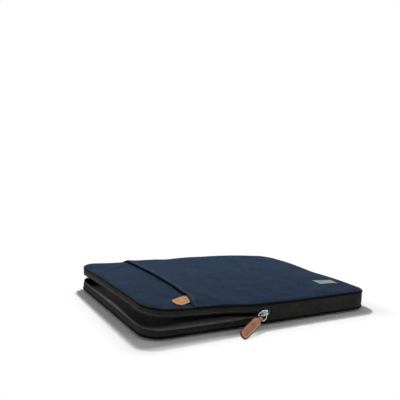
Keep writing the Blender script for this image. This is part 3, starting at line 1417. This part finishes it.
class SLEEVE_OT_pull(bpy.types.Operator):
    """Build the folded leather pull on the slider's ring"""

    bl_idname = "sleeve.pull"
    bl_label = "Leather pull"

    def execute(self, context):
        tip_start = PULL_LENGTH - PULL_HALF
        leaf = np.concatenate([tip_start + PULL_HALF * np.sin(np.linspace(math.radians(84), 0, 9)),
                               np.linspace(tip_start, PULL_NECK, 26)[1:],
                               np.linspace(PULL_NECK, PULL_TURN, 8)[1:]])
        height = LEAF + (EYE - LEAF) * smooth((PULL_NECK - leaf) / (5.8 * MM))
        angle = np.linspace(0, math.pi, 13)[1:-1]
        out = np.concatenate([leaf, PULL_TURN - (EYE + PULL_TURN) * np.sin(angle), leaf[::-1]])
        rise = np.concatenate([height, EYE * np.cos(angle), -height[::-1]])
        along = path_lengths(np.column_stack([out, rise]))
        half = pull_half_width(np.maximum(out, 0))[:, None]
        across = np.linspace(-1, 1, 15)
        grid = np.broadcast_arrays(out[:, None], half * across, rise[:, None])
        points, face = pull_places(*grid)
        uv = np.column_stack([np.repeat(along, len(across)), grid[1].ravel()])
        faces = grid_faces(len(out), len(across))
        strip = make_mesh("leather_pull_strip", points.reshape(-1, 3), faces, uv, "tan_leather")
        inside = np.minimum(half * (1 - np.abs(across)), PULL_LENGTH - out[:, None])
        finish_leather(strip, inside, PULL_RIM, PULL_LEATHER, 0.25 * MM, face, offset=0.0)
        hand_over(strip, "pull", "tan_leather", ("leather_pull",))

        inner_half = PULL_HALF - PULL_ROW_INSET
        out = np.concatenate([np.linspace(8 * MM, tip_start, 40),
                              tip_start + inner_half * np.sin(np.linspace(0, math.pi / 2, 9)[1:])])
        tip = np.clip((out - tip_start) / inner_half, 0, 1)
        half = pull_half_width(np.minimum(out, tip_start)) - PULL_ROW_INSET
        half = half * np.sqrt(np.maximum(1 - tip ** 2, 0))
        out = np.concatenate([out, out[-2::-1]])
        half = np.concatenate([half, -half[-2::-1]])
        lines = []
        for side in (1.0, -1.0):
            path = pull_places(out, half, np.full(len(out), side * (LEAF + 0.66 * MM)))[0]
            lines.append((path, np.tile(tuple(face * side), (len(path), 1))))
        rows = repeat_along("pull_stitching", lines, stitch_shape(2.3 * MM, 0.40 * MM), 2.9 * MM,
                            "tan_thread", 0.05, 6)
        hand_over(rows, "pull", "tan_leather")
        return {"FINISHED"}


class SLEEVE_OT_stage(bpy.types.Operator):
    """Set up the floor, the light and the camera"""

    bl_idname = "sleeve.stage"
    bl_label = "Stage"

    def execute(self, context):
        scene = context.scene
        corners = [(x * FLOOR_REACH, y * FLOOR_REACH, 0) for x, y in ((-1, -1), (1, -1), (1, 1), (-1, 1))]
        make_mesh("floor", corners, [(0, 1, 2, 3)], material="pale_floor")

        world = bpy.data.worlds.new("studio")
        world.use_nodes = True
        scene.world = world
        kit = Nodes(world.node_tree)
        rays = kit.add("ShaderNodeLightPath").outputs
        seen = kit.math("MAXIMUM", rays["Is Camera Ray"], rays["Is Glossy Ray"])
        seen = kit.math("MAXIMUM", seen, rays["Is Transmission Ray"])
        strength = kit.plus(WORLD_LIGHT, kit.times(seen, 1.0 - WORLD_LIGHT))
        kit.feed(world.node_tree.nodes["Background"], {"Color": (1, 1, 1), "Strength": strength})

        for name, place, target, size, power in LAMPS:
            lamp = bpy.data.lights.new(name, "AREA")
            lamp.shape = "RECTANGLE"
            lamp.size, lamp.size_y = size
            lamp.energy = power
            holder = add_object(name, lamp)
            holder.location = place
            holder.rotation_euler = (Vector(target) - Vector(place)).to_track_quat("-Z", "Y").to_euler()
        camera = bpy.data.cameras.new("camera")
        camera.lens = CAMERA_LENS
        camera.sensor_width = 36.0
        camera.clip_start = 0.01
        camera.clip_end = 50.0
        holder = add_object("camera", camera)
        holder.location = CAMERA_PLACE
        holder.rotation_euler = Matrix((CAMERA_RIGHT, CAMERA_UP, CAMERA_BACK)).transposed().to_euler()
        scene.camera = holder
        scene.view_settings.view_transform = "Standard"
        return {"FINISHED"}


class SLEEVE_PT_panel(bpy.types.Panel):
    """Lists the sizes, the colours and the build steps"""

    bl_label = "Laptop sleeve"
    bl_idname = "SLEEVE_PT_panel"
    bl_space_type = "VIEW_3D"
    bl_region_type = "UI"
    bl_category = "Laptop sleeve"

    def draw(self, context):
        layout = self.layout
        for group in (context.scene.sleeve_shape, context.scene.sleeve_colours):
            box = layout.box()
            for name in group.__annotations__:
                box.prop(group, name)
        for operator in OPERATORS:
            layout.operator(operator.bl_idname)


OPERATORS = (SLEEVE_OT_filling, SLEEVE_OT_back, SLEEVE_OT_walls, SLEEVE_OT_piping, SLEEVE_OT_cover,
             SLEEVE_OT_pocket, SLEEVE_OT_tab, SLEEVE_OT_patch, SLEEVE_OT_zip, SLEEVE_OT_hardware,
             SLEEVE_OT_pull, SLEEVE_OT_stage)
CLASSES = (SleeveShape, SleeveColours) + OPERATORS + (SLEEVE_PT_panel,)


def register():
    for cls in CLASSES:
        bpy.utils.register_class(cls)
    bpy.types.Scene.sleeve_shape = PointerProperty(type=SleeveShape)
    bpy.types.Scene.sleeve_colours = PointerProperty(type=SleeveColours)


def unregister():
    del bpy.types.Scene.sleeve_colours
    del bpy.types.Scene.sleeve_shape
    for cls in reversed(CLASSES):
        bpy.utils.unregister_class(cls)


def main():
    register()
    make_materials(bpy.context.scene.sleeve_colours)
    for operator in OPERATORS:
        group, name = operator.bl_idname.split(".")
        getattr(getattr(bpy.ops, group), name)()


if __name__ == "__main__":
    main()
